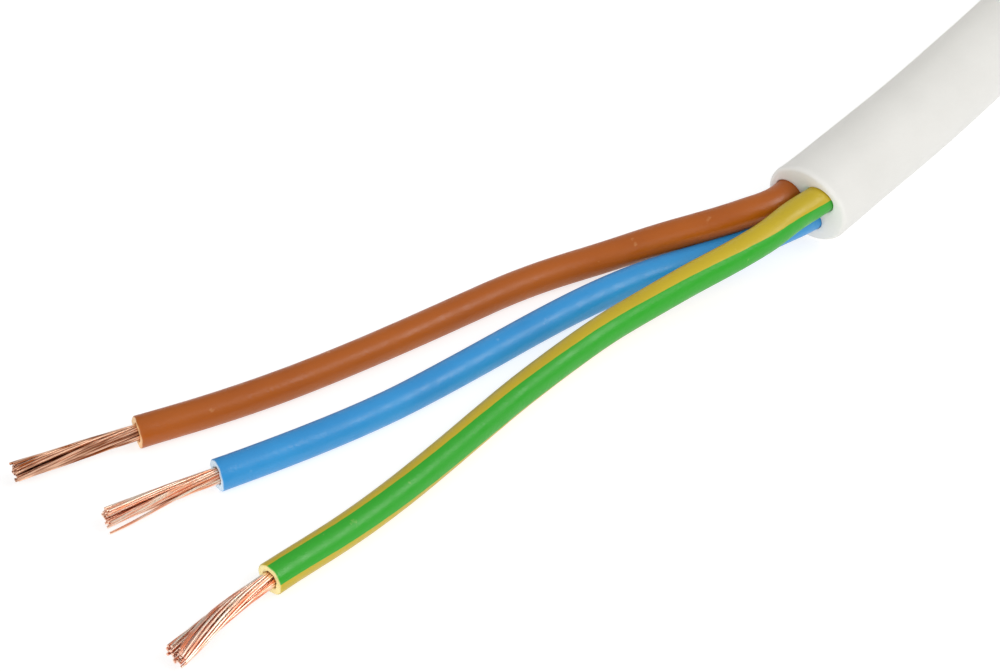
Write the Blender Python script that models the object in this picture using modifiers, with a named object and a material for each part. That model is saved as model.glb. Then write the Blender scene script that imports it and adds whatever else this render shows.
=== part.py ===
"""Coil of three-core flexible mains cable with one stripped end.

Ten metres of round PVC cable lie in a ring held by cable ties. One end runs out of the ring across the floor.
There the sheath is cut back, the brown, blue and earth cores fan out, and each ends in bare copper strands.
"""

import math

import bmesh
import bpy
import numpy as np
from mathutils import Matrix

MM = 0.001

# The cable
SHEATH_D = 8.6 * MM
CORE_D = 3.0 * MM
STRAND_D = 0.25 * MM
CORE_GAP = 0.2 * MM  # between two cores where they lie side by side in the sheath
CORE_SEAT = 6.0 * MM  # how far a core reaches into the free end of the sheath
CORE_FIT = 0.15 * MM  # clearance round a core inside the sheath
HEART_SHARE = 3.0  # the core circle's radius over that of the space in the middle of the cores
BORE_DEEPER = 0.3 * MM  # how far a bore goes on past the end of what sits in it
BORE_BEYOND = 1.0 * MM  # how far a bore's cutter stands out of the mouth
RIM_ROUND = 0.5 * MM  # rounding on the sheath's cut rim
CORE_ROUND = 0.12 * MM  # rounding on a core's cut rim
RIM_STEPS = 2  # facets across the sheath's rounded rim
CORE_RIM_STEPS = 1

# The copper: strands in three layers that touch, from the inside out, as (name, strands)
STRAND_LAYERS = (("inner", 4), ("middle", 10), ("outer", 16))
LAYER_FIT = 0.045 * MM  # clearance between two layers
GROOVE_DEPTH = 0.1 * MM  # how deep the gap between two strands is cut
LAY_LENGTH = 24.0 * MM  # one full turn of the strands
FLARE = 0.3  # how much wider the bundle is at its tip
FLARE_POWER = 1.5  # more than 1 keeps the bundle narrow near the insulation
CROWN_SHARES = (0.3, 0.7)  # where a strand's rounded crown starts and ends between two grooves
STRAND_SEAT = 4.0 * MM  # how far the strands reach into the insulation here
STRAND_FIT = 0.1 * MM  # clearance round the strands inside the insulation
STRAND_STEP = 2.0 * MM
END_STEP = 0.25 * MM  # each layer ends this much short of the one inside it

# The ring of turns, as it was wound by hand
COIL_R = 52.3 * MM  # middle of the turns
TURN_GAP = 0.3 * MM
TURNS_PER_ROW = (5, 4, 5, 4, 5, 4, 3)  # from the floor up, nested in one another's grooves
NEST_DEGREES = 60.0  # slope from a turn to the one that it lies on
RING_STEPS = 40
TURN_ARC_DEGREES = 60.0  # longest facet round a turn in the ring's outline
OUTER_TURN_DEGREES = 322.5  # how much of the outermost bottom turn is drawn with the free end
GUIDE_DEGREES = 15.0
FREE_END_STEP = 12.0 * MM

# The ties
TIE_DEGREES = {"tie_right": 30.0, "tie_left": 150.0, "tie_front": 270.0}
TIE_WIDTH = 4.8 * MM
TIE_THICKNESS = 1.2 * MM
TIE_GAP = 0.3 * MM
TIE_HEAD = (8.0 * MM, 6.6 * MM, 4.4 * MM)
TIE_STUB = (3.0 * MM, 4.8 * MM, 1.2 * MM)
TIE_JOIN = 0.3 * MM  # how far the head is let into the strap
TIE_ARC_DEGREES = 20.0  # longest facet round a corner of the strap

# The free end on the floor. Routes are plan points in millimetres from one datum on the floor.
RING_JOIN = (83.9, -22.4)  # where the free end becomes the outermost bottom turn, heading along +Y
MOUTH = (33.9, -141.5)
MOUTH_HEADING = 48.4  # degrees from +X, looking into the sheath
# from just behind the mouth to just before the ring, with the share of the climb to the bottom turn
SHEATH_ROUTE = (
    (37.9, -136.9, 0.0),
    (41.6, -132.6, 0.0),
    (46.0, -127.4, 0.0),
    (50.4, -121.9, 0.0),
    (55.5, -115.4, 0.0),
    (61.3, -107.5, 0.0),
    (66.1, -100.4, 0.02),
    (72.4, -89.6, 0.1),
    (77.1, -77.9, 0.3),
    (80.1, -65.7, 0.58),
    (82.9, -44.2, 0.9),
)
# from the mouth to the tips of the strands, with the share of the core's height in the mouth that is left
BROWN_ROUTE = (
    (30.2, -142.4, 0.99),
    (28.1, -143.4, 0.92),
    (26.1, -144.1, 0.81),
    (22.2, -145.0, 0.58),
    (18.4, -145.8, 0.36),
    (14.3, -146.9, 0.16),
    (9.9, -148.5, 0.04),
    (5.5, -150.7, 0.0),
    (1.2, -153.5, 0.0),
    (-7.2, -159.1, 0.0),
    (-15.4, -164.1, 0.0),
    (-23.5, -168.2, 0.0),
    (-28.5, -170.4, 0.0),
    (-33.8, -172.9, 0.0),
    (-39.2, -175.7, 0.0),
)
BLUE_ROUTE = (
    (31.0, -143.7, 0.9),
    (28.5, -145.1, 0.68),
    (26.1, -146.1, 0.47),
    (22.2, -147.5, 0.2),
    (18.3, -149.1, 0.05),
    (14.4, -151.3, 0.0),
    (9.6, -154.7, 0.0),
    (2.3, -160.6, 0.0),
    (-1.8, -163.9, 0.0),
    (-5.9, -167.0, 0.0),
    (-10.0, -169.7, 0.0),
    (-14.2, -172.2, 0.0),
    (-21.0, -175.9, 0.0),
    (-25.7, -178.4, 0.0),
    (-30.6, -181.2, 0.0),
)
EARTH_ROUTE = (
    (31.7, -145.5, 0.97),
    (29.6, -147.5, 0.92),
    (27.7, -148.8, 0.84),
    (25.7, -150.0, 0.76),
    (21.9, -152.2, 0.58),
    (18.1, -154.5, 0.37),
    (14.2, -157.1, 0.18),
    (10.4, -160.4, 0.05),
    (6.8, -164.1, 0.0),
    (3.3, -168.2, 0.0),
    (-3.4, -176.3, 0.0),
    (-10.1, -183.4, 0.0),
    (-15.9, -188.7, 0.0),
    (-19.6, -192.7, 0.0),
    (-23.2, -197.3, 0.0),
)
# name, angle in the mouth (from its side towards +X, anticlockwise seen from the cores), bare length, route
CORES = (
    ("brown", 153.0, 11.7 * MM, BROWN_ROUTE),
    ("blue", -87.0, 11.2 * MM, BLUE_ROUTE),
    ("earth", 33.0, 11.5 * MM, EARTH_ROUTE),
)
CORE_STEP = 4.0 * MM

SHEATH_SIDE_STEPS = 4  # bevel_resolution
CORE_SIDE_STEPS = 2
BORE_STEPS = 16  # sides of a bore
SEAT_POINTS = 4  # points of a core's axis that lie straight inside the sheath
SMOOTH_DEGREES = 50.0  # edges sharper than this stay sharp when shaded
RIM_DEGREES = 60.0  # edges sharper than this are a rod's cut rims
WELD = 1e-6
SPLINE_STEPS = 4000

WHITE_PVC = (0.80, 0.79, 0.76, 1.0)
BROWN_PVC = (0.42, 0.13, 0.03, 1.0)
BLUE_PVC = (0.06, 0.29, 0.62, 1.0)
GREEN_PVC = (0.05, 0.42, 0.06, 1.0)
COPPER = (0.80, 0.36, 0.20, 1.0)
NYLON = (0.83, 0.82, 0.77, 1.0)


def clear_scene():
    for old in list(bpy.data.objects):
        bpy.data.objects.remove(old)


def new_collection(name):
    collection = bpy.data.collections.new(name)
    bpy.context.scene.collection.children.link(collection)
    return collection


def material(name, colour, roughness, metallic=0.0):
    made = bpy.data.materials.new(name)
    made.use_nodes = True
    shader = made.node_tree.nodes["Principled BSDF"]
    shader.inputs["Base Color"].default_value = colour
    shader.inputs["Roughness"].default_value = roughness
    shader.inputs["Metallic"].default_value = metallic
    return made


def finish_piece(obj, root, its_material):
    """Hangs the piece on the object's root, shades its round sides smooth and gives it its material."""
    obj.parent = root
    obj.data.materials.clear()
    obj.data.materials.append(its_material)
    obj.data.shade_smooth()
    obj.data.set_sharp_from_angle(angle=math.radians(SMOOTH_DEGREES))
    return obj


def smooth_curve(points):
    """Close points on the natural cubic curve through the given points, with the chords as its parameter."""
    knots = np.array(points, dtype=float)
    chord = np.linalg.norm(np.diff(knots, axis=0), axis=1)
    along = np.concatenate([[0.0], np.cumsum(chord)])
    count = len(knots)
    # The bend at each knot makes the slopes on its two sides agree. It is none at both ends.
    matrix = np.eye(count)
    pull = np.zeros_like(knots)
    for k in range(1, count - 1):
        matrix[k, k - 1] = chord[k - 1]
        matrix[k, k] = 2.0 * (chord[k - 1] + chord[k])
        matrix[k, k + 1] = chord[k]
        slope_after = (knots[k + 1] - knots[k]) / chord[k]
        slope_before = (knots[k] - knots[k - 1]) / chord[k - 1]
        pull[k] = 6.0 * (slope_after - slope_before)
    bend = np.linalg.solve(matrix, pull)
    place = np.linspace(0.0, along[-1], SPLINE_STEPS)
    k = np.clip(np.searchsorted(along, place, side="right") - 1, 0, count - 2)
    before = (place - along[k])[:, None]
    after = (along[k + 1] - place)[:, None]
    width = chord[k][:, None]
    return (
        (bend[k] * after**3 + bend[k + 1] * before**3) / (6.0 * width)
        + (knots[k] / width - bend[k] * width / 6.0) * after
        + (knots[k + 1] / width - bend[k + 1] * width / 6.0) * before
    )


def lengths_along(curve):
    return np.concatenate([[0.0], np.cumsum(np.linalg.norm(np.diff(curve, axis=0), axis=1))])


def stretch(curve, start, end, step):
    """Even points about a step apart on the curve, from one length along it to another."""
    along = lengths_along(curve)
    count = max(2, round((end - start) / step)) + 1
    at = np.linspace(start, end, count)
    return np.stack([np.interp(at, along, curve[:, axis]) for axis in range(3)], axis=1)


def rod(name, points, radius, bevel_resolution, collection):
    """A round solid along the points, as one closed mesh."""
    curve = bpy.data.curves.new(name + "_path", "CURVE")
    curve.dimensions = "3D"
    curve.bevel_depth = radius
    curve.bevel_resolution = bevel_resolution
    curve.use_fill_caps = True
    spline = curve.splines.new("POLY")
    spline.points.add(len(points) - 1)
    for point, place in zip(spline.points, points):
        point.co = (*place, 1.0)
    path = bpy.data.objects.new(name + "_path", curve)
    collection.objects.link(path)
    graph = bpy.context.evaluated_depsgraph_get()
    mesh = bpy.data.meshes.new_from_object(path.evaluated_get(graph))
    weld(mesh)
    obj = bpy.data.objects.new(name, mesh)
    obj.matrix_world = path.matrix_world
    collection.objects.link(obj)
    bpy.data.objects.remove(path)
    return obj


def weld(mesh):
    bm = bmesh.new()
    bm.from_mesh(mesh)
    bmesh.ops.remove_doubles(bm, verts=bm.verts, dist=WELD)
    bm.to_mesh(mesh)
    bm.free()


def as_cutter(obj, root):
    obj.parent = root
    obj.hide_render = True
    obj.display_type = "WIRE"
    return obj


def cut(obj, cutter):
    boolean = obj.modifiers.new("cut_" + cutter.name, "BOOLEAN")
    boolean.operation = "DIFFERENCE"
    boolean.object = cutter
    boolean.solver = "EXACT"


def round_rims(obj, width, segments):
    """Rounds the edges of both ends. The sides of a rod meet at less than this angle, so they stay."""
    bevel = obj.modifiers.new("rim", "BEVEL")
    bevel.width = width
    bevel.segments = segments
    bevel.limit_method = "ANGLE"
    bevel.angle_limit = math.radians(RIM_DEGREES)


# The mouth of the sheath: a point, the way out of it, and the level side direction
def mouth_frame():
    heading = math.radians(MOUTH_HEADING)
    place = np.array([MOUTH[0] * MM, MOUTH[1] * MM, SHEATH_D / 2])
    out = np.array([-math.cos(heading), -math.sin(heading), 0.0])
    side = np.array([math.sin(heading), -math.cos(heading), 0.0])
    return place, out, side


def core_circle_r():
    """From the cable's axis to each core's axis, with the three cores side by side round it."""
    return (CORE_D + CORE_GAP) / math.sqrt(3.0)


def core_exit(angle_degrees):
    """Where a core's axis passes the mouth."""
    place, _, side = mouth_frame()
    angle = math.radians(angle_degrees)
    return place + core_circle_r() * (math.cos(angle) * side + math.sin(angle) * np.array([0.0, 0.0, 1.0]))


def core_curve(angle_degrees, route):
    """The axis of a core and its strands: straight out of the sheath, down on to the floor, and along it."""
    _, out, _ = mouth_frame()
    leaves = core_exit(angle_degrees)
    rest = CORE_D / 2
    points = [leaves - out * seated for seated in np.linspace(CORE_SEAT, 0.0, SEAT_POINTS)]
    for x, y, lift in route:
        points.append(np.array([x * MM, y * MM, rest + (leaves[2] - rest) * lift]))
    curve = smooth_curve(points)
    curve[:, 2] = np.maximum(curve[:, 2], rest)
    return curve


def turn_pitch():
    return SHEATH_D + TURN_GAP


def row_height(row):
    """Height of a row's axes. The bottom row lies on the ties, and each row above in the grooves below it."""
    bottom = TIE_THICKNESS + TIE_GAP + SHEATH_D / 2
    return bottom + row * turn_pitch() * math.sin(math.radians(NEST_DEGREES))


def row_radii(row):
    turns = TURNS_PER_ROW[row]
    return [COIL_R + (k - (turns - 1) / 2) * turn_pitch() for k in range(turns)]


def ring_place():
    """The ring's centre on the floor, one radius beside the point where its outermost bottom turn begins."""
    return np.array([RING_JOIN[0] * MM - row_radii(0)[-1], RING_JOIN[1] * MM, 0.0])


def sheath_curve():
    """The axis of the free end: from the mouth across the floor, and round as the outermost bottom turn."""
    place, out, _ = mouth_frame()
    radius = row_radii(0)[-1]
    centre = ring_place()
    rest = SHEATH_D / 2
    climb = row_height(0) - rest
    points = [place, place - out * CORE_SEAT / 2]
    for x, y, share in SHEATH_ROUTE:
        points.append(np.array([x * MM, y * MM, rest + climb * share]))
    steps = round(OUTER_TURN_DEGREES / GUIDE_DEGREES)
    for k in range(steps + 1):
        angle = math.radians(OUTER_TURN_DEGREES * k / steps)
        round_ring = np.array([radius * math.cos(angle), radius * math.sin(angle), rest + climb])
        points.append(centre + round_ring)
    return smooth_curve(points)


def make_sheath(collection, cutters, root, its_material):
    """The free end of the cable: solid behind its mouth, where the cores leave a clover-shaped bore."""
    curve = sheath_curve()
    points = stretch(curve, 0.0, lengths_along(curve)[-1], FREE_END_STEP)
    obj = rod("sheath_free_end", points, SHEATH_D / 2, SHEATH_SIDE_STEPS, collection)
    round_rims(obj, RIM_ROUND, RIM_STEPS)
    place, out, _ = mouth_frame()
    deep = CORE_SEAT + BORE_DEEPER
    bores = [("bore_" + name, core_exit(angle), CORE_D / 2 + CORE_FIT) for name, angle, _, _ in CORES]
    bores.append(("bore_heart", place, core_circle_r() / HEART_SHARE))
    for name, leaves, radius in bores:
        far = leaves + out * BORE_BEYOND
        cutter = cylinder(name, leaves - out * deep, far, radius, BORE_STEPS, cutters)
        cut(obj, as_cutter(cutter, root))
    return finish_piece(obj, root, its_material)


def cylinder(name, start, end, radius, sides, collection):
    axis = end - start
    length = float(np.linalg.norm(axis))
    x, y, z = axis / length
    turn = Matrix.Rotation(math.atan2(y, x), 4, "Z") @ Matrix.Rotation(math.acos(z), 4, "Y")
    bm = bmesh.new()
    bmesh.ops.create_cone(bm, cap_ends=True, segments=sides, radius1=radius, radius2=radius, depth=length)
    bm.transform(Matrix.Translation((start + end) / 2) @ turn)
    mesh = bpy.data.meshes.new(name)
    bm.to_mesh(mesh)
    bm.free()
    obj = bpy.data.objects.new(name, mesh)
    collection.objects.link(obj)
    return obj


def make_core(name, angle, bare, route, collection, cutters, root, its_material):
    """One core's insulation, with the bore that its copper comes out of."""
    curve = core_curve(angle, route)
    end = lengths_along(curve)[-1] - bare
    points = stretch(curve, 0.0, end, CORE_STEP)
    obj = rod("insulation_" + name, points, CORE_D / 2, CORE_SIDE_STEPS, collection)
    round_rims(obj, CORE_ROUND, CORE_RIM_STEPS)
    bore_r = layer_r(len(STRAND_LAYERS) - 1) + STRAND_D / 2 + STRAND_FIT
    path = stretch(curve, end - STRAND_SEAT - BORE_DEEPER, end + BORE_BEYOND, STRAND_STEP)
    cut(obj, as_cutter(rod("bore_copper_" + name, path, bore_r, CORE_SIDE_STEPS, cutters), root))
    return finish_piece(obj, root, its_material)


def layer_r(layer):
    """Radius through the axes of a layer's strands: the inner ones touch, and each layer lies on the last."""
    return STRAND_D / (2 * math.sin(math.pi / STRAND_LAYERS[0][1])) + layer * STRAND_D


def make_strands(core, angle, bare, route, layer, collection, root, its_material):
    """One layer of a core's copper: a tube, or at the heart a rod, with the gaps between its strands cut in.

    Each section is the layer's outline, square to the core's axis, turned by the lay and widened by the flare.
    """
    layer_name, strands = STRAND_LAYERS[layer]
    crown_r = layer_r(layer) + STRAND_D / 2
    inside_r = layer_r(layer - 1) + STRAND_D / 2 + LAYER_FIT
    curve = core_curve(angle, route)
    total = lengths_along(curve)[-1]
    start = total - bare - STRAND_SEAT
    end = total - layer * END_STEP
    axis = stretch(curve, start, end, STRAND_STEP)
    tangent = np.gradient(axis, axis=0)
    tangent /= np.linalg.norm(tangent, axis=1)[:, None]
    side = np.cross(tangent, [0.0, 0.0, 1.0])
    side /= np.linalg.norm(side, axis=1)[:, None]
    up = np.cross(side, tangent)
    outline = []
    for k in range(strands):
        outline.append((2 * math.pi * k / strands, crown_r - GROOVE_DEPTH))
        for share in CROWN_SHARES:
            outline.append((2 * math.pi * (k + share) / strands, crown_r))
    bore = [(2 * math.pi * k / strands, inside_r) for k in range(strands)] if layer else []
    points = []
    travelled = lengths_along(axis)
    for k, centre in enumerate(axis):
        turn = 2 * math.pi * travelled[k] / LAY_LENGTH
        wide = 1.0 + FLARE * max(0.0, (travelled[k] - STRAND_SEAT) / bare) ** FLARE_POWER
        for direction, radius in outline + bore:
            across = math.cos(direction + turn) * side[k] + math.sin(direction + turn) * up[k]
            points.append(centre + wide * radius * across)
    ring = len(outline) + len(bore)
    faces = []
    for first in range(0, ring * (len(axis) - 1), ring):
        for low, high in ((0, len(outline)), (len(outline), ring)):
            for k in range(low, high):
                after = low + (k + 1 - low) % (high - low)
                faces.append((first + k, first + after, first + ring + after, first + ring + k))
    for first in (0, ring * (len(axis) - 1)):
        if not bore:
            faces.append(tuple(range(first, first + ring)))
            continue
        for k in range(strands):
            after = (k + 1) % strands
            face = [3 * k, 3 * k + 1, 3 * k + 2, 3 * after, len(outline) + after, len(outline) + k]
            faces.append(tuple(first + corner for corner in face))
    mesh = bpy.data.meshes.new("strands")
    mesh.from_pydata(points, [], faces)
    bm = bmesh.new()
    bm.from_mesh(mesh)
    bmesh.ops.recalc_face_normals(bm, faces=bm.faces)
    bm.to_mesh(mesh)
    bm.free()
    obj = bpy.data.objects.new(f"strands_{core}_{layer_name}", mesh)
    collection.objects.link(obj)
    return finish_piece(obj, root, its_material)


def ring_outline():
    """The outline of the stacked turns, down the outer side first: an arc for each turn that shows."""
    rows = [[(radius, row_height(row)) for radius in row_radii(row)] for row in range(len(TURNS_PER_ROW))]
    rows[0].pop()  # the outermost bottom turn belongs to the free end
    outer = [row[-1] for row in reversed(rows)]
    bottom = rows[0][-2:0:-1]
    inner = [row[0] for row in rows]
    top = rows[-1][1:-1]
    turns = outer + bottom + inner + top
    outline = []
    for k, turn in enumerate(turns):
        before = turns[k - 1]
        after = turns[(k + 1) % len(turns)]
        start = math.atan2(before[1] - turn[1], before[0] - turn[0])
        end = math.atan2(after[1] - turn[1], after[0] - turn[0])
        sweep = (start - end) % (2 * math.pi)
        steps = max(2, round(math.degrees(sweep) / TURN_ARC_DEGREES))
        for j in range(1, steps + 1):
            angle = start - sweep * j / (steps + 1)
            across = SHEATH_D / 2 * math.cos(angle)
            above = SHEATH_D / 2 * math.sin(angle)
            outline.append((turn[0] + across, turn[1] + above))
        outline.append(((turn[0] + after[0]) / 2, (turn[1] + after[1]) / 2))
    return outline


def make_coil(collection, root, its_material):
    """The wound turns as one turned ring."""
    outline = ring_outline()
    mesh = bpy.data.meshes.new("cable_coil")
    edges = [(k, (k + 1) % len(outline)) for k in range(len(outline))]
    mesh.from_pydata([(radius, 0.0, height) for radius, height in outline], edges, [])
    obj = bpy.data.objects.new("cable_coil", mesh)
    obj.location = ring_place()
    collection.objects.link(obj)
    screw = obj.modifiers.new("turn", "SCREW")
    screw.steps = RING_STEPS
    screw.render_steps = RING_STEPS
    screw.use_merge_vertices = True
    screw.merge_threshold = 1e-5
    return finish_piece(obj, root, its_material)


def tie_outline():
    """Points of the strap's inner side, drawn tight round the corner turns of the ring's section."""
    last = len(TURNS_PER_ROW) - 1
    shoulder = last - TURNS_PER_ROW[::-1].index(max(TURNS_PER_ROW))
    corners = [(row_radii(row)[-1], row_height(row)) for row in (last, shoulder, 0)]
    corners += [(row_radii(row)[0], row_height(row)) for row in (0, shoulder, last)]
    outline = []
    for k, corner in enumerate(corners):
        before = corners[k - 1]
        after = corners[(k + 1) % len(corners)]
        start = math.atan2(corner[1] - before[1], corner[0] - before[0]) + math.pi / 2
        end = math.atan2(after[1] - corner[1], after[0] - corner[0]) + math.pi / 2
        sweep = (start - end) % (2 * math.pi)
        steps = max(2, round(math.degrees(sweep) / TIE_ARC_DEGREES))
        reach = SHEATH_D / 2 + TIE_GAP
        for j in range(steps + 1):
            angle = start - sweep * j / steps
            outline.append((corner[0] + reach * math.cos(angle), corner[1] + reach * math.sin(angle)))
    return outline


def tie_mesh(cutters):
    """A cable tie round the ring's section at +X: a strap, its square head on top, and its trimmed tail."""
    outline = tie_outline()
    count = len(outline)
    mesh = bpy.data.meshes.new("tie_strap")
    points = [(radius, y, height) for y in (-TIE_WIDTH / 2, TIE_WIDTH / 2) for radius, height in outline]
    faces = [(k, (k + 1) % count, count + (k + 1) % count, count + k) for k in range(count)]
    mesh.from_pydata(points, [], faces)
    strap = bpy.data.objects.new("tie_strap", mesh)
    cutters.objects.link(strap)
    shell = strap.modifiers.new("thickness", "SOLIDIFY")
    shell.thickness = TIE_THICKNESS
    shell.offset = 1.0
    shell.use_even_offset = True
    top = max(height for _, height in outline) + TIE_THICKNESS
    head_at = (COIL_R, 0.0, top + TIE_HEAD[2] / 2 - TIE_JOIN)
    stub_at = (COIL_R - TIE_HEAD[0] / 2 - TIE_STUB[0] / 2 + TIE_JOIN, 0.0, top + TIE_HEAD[2] / 2)
    for name, size, place in (("tie_head", TIE_HEAD, head_at), ("tie_stub", TIE_STUB, stub_at)):
        bm = bmesh.new()
        bmesh.ops.create_cube(bm, size=1.0, matrix=Matrix.Translation(place) @ Matrix.Diagonal((*size, 1.0)))
        block_mesh = bpy.data.meshes.new(name)
        bm.to_mesh(block_mesh)
        bm.free()
        block = bpy.data.objects.new(name, block_mesh)
        cutters.objects.link(block)
        join = strap.modifiers.new("join_" + name, "BOOLEAN")
        join.operation = "UNION"
        join.object = block
        join.solver = "EXACT"
    graph = bpy.context.evaluated_depsgraph_get()
    made = bpy.data.meshes.new_from_object(strap.evaluated_get(graph))
    for helper in list(cutters.objects):
        if helper.name.startswith("tie_"):
            bpy.data.objects.remove(helper)
    return made


def make_ties(collection, cutters, root, its_material):
    mesh = tie_mesh(cutters)
    for name, degrees in TIE_DEGREES.items():
        obj = bpy.data.objects.new(name, mesh)
        obj.rotation_euler[2] = math.radians(degrees)
        obj.location = ring_place()
        collection.objects.link(obj)
        finish_piece(obj, root, its_material)


def centre_on_floor(root, collection):
    """Moves the whole object so that the middle of its box, seen from above, is at the origin."""
    bpy.context.view_layer.update()
    graph = bpy.context.evaluated_depsgraph_get()
    corners = []
    for obj in collection.objects:
        if obj.type != "MESH":
            continue
        made = obj.evaluated_get(graph)
        mesh = made.to_mesh()
        flat = np.empty(3 * len(mesh.vertices))
        mesh.vertices.foreach_get("co", flat)
        turn = np.array(made.matrix_world)
        points = flat.reshape(-1, 3) @ turn[:3, :3].T + turn[:3, 3]
        made.to_mesh_clear()
        corners += [points.min(axis=0), points.max(axis=0)]
    low = np.min(corners, axis=0)
    high = np.max(corners, axis=0)
    root.location = (-(low[0] + high[0]) / 2, -(low[1] + high[1]) / 2, -low[2])


clear_scene()
parts = new_collection("flexible_cable_coil")
helpers = new_collection("cutters")
datum = bpy.data.objects.new("datum", None)
parts.objects.link(datum)

white_pvc = material("white_pvc", WHITE_PVC, 0.45)
copper = material("copper", COPPER, 0.3, metallic=1.0)
insulation = {
    "brown": material("brown_pvc", BROWN_PVC, 0.4),
    "blue": material("blue_pvc", BLUE_PVC, 0.4),
    "earth": material("green_yellow_pvc", GREEN_PVC, 0.4),
}

make_sheath(parts, helpers, datum, white_pvc)
make_coil(parts, datum, white_pvc)
for core_name, core_angle, bare_length, core_route in CORES:
    make_core(
        core_name, core_angle, bare_length, core_route, parts, helpers, datum, insulation[core_name]
    )
    for which in range(len(STRAND_LAYERS)):
        make_strands(core_name, core_angle, bare_length, core_route, which, parts, datum, copper)
make_ties(parts, helpers, datum, material("natural_nylon", NYLON, 0.5))
centre_on_floor(datum, parts)
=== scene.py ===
"""Ten metres of round white three-core flexible cable, wound into a tied ring, with one end stripped for wiring."""

import math

import bpy
import numpy as np
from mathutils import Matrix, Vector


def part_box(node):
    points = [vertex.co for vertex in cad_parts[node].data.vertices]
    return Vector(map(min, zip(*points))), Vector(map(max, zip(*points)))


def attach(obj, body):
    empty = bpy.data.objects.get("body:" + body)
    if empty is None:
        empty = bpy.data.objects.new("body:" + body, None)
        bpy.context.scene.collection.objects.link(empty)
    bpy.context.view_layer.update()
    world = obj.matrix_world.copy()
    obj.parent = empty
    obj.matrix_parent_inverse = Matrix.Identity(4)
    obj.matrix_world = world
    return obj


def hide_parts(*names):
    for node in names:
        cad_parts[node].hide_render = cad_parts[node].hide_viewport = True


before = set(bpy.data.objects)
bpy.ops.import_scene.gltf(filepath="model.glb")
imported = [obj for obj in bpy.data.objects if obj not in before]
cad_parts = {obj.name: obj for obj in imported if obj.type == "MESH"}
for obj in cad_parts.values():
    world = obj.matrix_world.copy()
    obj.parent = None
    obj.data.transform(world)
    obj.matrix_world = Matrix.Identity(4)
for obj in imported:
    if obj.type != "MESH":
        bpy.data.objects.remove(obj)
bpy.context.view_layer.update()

# The studio: a long lens looks down on the stripped end from 282 mm away. The cable lies on a white table under soft
# boxes, which leave a broad pale gloss along the plastic and bright streaks on the copper, whose colour also holds
# painted highlight streaks and painted shade.
MM = 0.001
ring_low, ring_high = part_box("cable_coil")
RING_CENTRE = np.array([(ring_low.x + ring_high.x) / 2, (ring_low.y + ring_high.y) / 2, 0.0])
RING_FROM_DATUM = np.array([13.8, -22.4, 0.0])
DATUM = RING_CENTRE - RING_FROM_DATUM * MM
LOOKS_DOWN = math.radians(42.5)
AIM = DATUM + np.array([4.0, -156.0, 0.0]) * MM
STANDS_OFF = 282.0 * MM


def put_in_scene(name, data):
    """A new object that holds this data, in the scene."""
    made = bpy.data.objects.new(name, data)
    bpy.context.scene.collection.objects.link(made)
    return made


lens = bpy.data.cameras.new("long_lens")
lens.lens = 108.0
lens.sensor_width = 36.0
lens.clip_start = 0.01
camera = put_in_scene("camera", lens)
camera.location = AIM + STANDS_OFF * np.array([0.0, -math.cos(LOOKS_DOWN), math.sin(LOOKS_DOWN)])
camera.rotation_euler = (math.pi / 2 - LOOKS_DOWN, 0.0, 0.0)
bpy.context.scene.camera = camera
bpy.context.scene.view_settings.view_transform = "Standard"

world = bpy.data.worlds.new("studio_walls")
bpy.context.scene.world = world
world.use_nodes = True
walls = world.node_tree.nodes["Background"]
walls.inputs["Color"].default_value = (0.95, 0.97, 1.0, 1.0)
walls.inputs["Strength"].default_value = 0.40

# name, place in metres, width and height in metres, power in watts
SOFT_BOXES = (
    ("box_over", (0.05, 0.05, 0.95), (1.2, 1.0), 1.0),
    ("box_right", (0.64, -0.25, 0.67), (0.55, 0.40), 3.2),
    ("box_front", (-0.38, -0.78, 0.45), (1.0, 0.7), 4.4),
)
for box_name, place, (wide, high), watts in SOFT_BOXES:
    light = bpy.data.lights.new(box_name, "AREA")
    light.shape = "RECTANGLE"
    light.size = wide
    light.size_y = high
    light.energy = watts
    light.color = (1.0, 0.985, 0.95)
    soft_box = put_in_scene(box_name, light)
    toward = AIM - np.array(place)
    level = math.hypot(toward[0], toward[1])
    soft_box.location = place
    soft_box.rotation_euler = (math.atan2(level, -toward[2]), 0.0, math.atan2(-toward[0], toward[1]))

TABLE_REACH = 2.0
TABLE_LINES = 9
table_line = np.linspace(-TABLE_REACH, TABLE_REACH, TABLE_LINES)
table_x, table_y = np.meshgrid(table_line, table_line)
table_points = np.stack([table_x, table_y, np.zeros_like(table_x)], axis=-1).reshape(-1, 3)
square = np.arange(TABLE_LINES - 1)
corner = (square[:, None] * TABLE_LINES + square).reshape(-1, 1)
table_mesh = bpy.data.meshes.new("table_top")
table_mesh.from_pydata(table_points.tolist(), [], (corner + [0, 1, TABLE_LINES + 1, TABLE_LINES]).tolist())
put_in_scene("table_top", table_mesh)


def new_material(name):
    """A new material, with its node tree and the shader of its surface."""
    made = bpy.data.materials.new(name)
    made.use_nodes = True
    return made, made.node_tree, made.node_tree.nodes["Principled BSDF"]


white_table, _, lacquer = new_material("white_table")
lacquer.inputs["Base Color"].default_value = (0.42, 0.42, 0.42, 1.0)
lacquer.inputs["Roughness"].default_value = 0.9
lacquer.inputs["Specular IOR Level"].default_value = 0.0
lacquer.inputs["Emission Color"].default_value = (1.0, 1.0, 1.0, 1.0)
lacquer.inputs["Emission Strength"].default_value = 0.70
table_mesh.materials.append(white_table)

# The sheath: round white PVC, 8.6 mm across, extruded over the three cores. It is one length of ten metres. Its cut
# mouth is a little swollen and slanted. The free end runs to the ring and is wound on from the floor up, row by row.
SHEATH_R = 4.3 * MM
CORE_R = 1.5 * MM
CABLE_LENGTH = 10.0
# The middle of each core in the mouth, in millimetres to the side and up
CORE_PLACES = {"brown": (-2.0, 0.5), "blue": (0.22, -1.53), "earth": (1.5, 1.45)}
CORE_SEAT = 6.0 * MM
MOUTH = (33.9, -141.5)
MOUTH_HEADING = math.radians(48.4)
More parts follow.
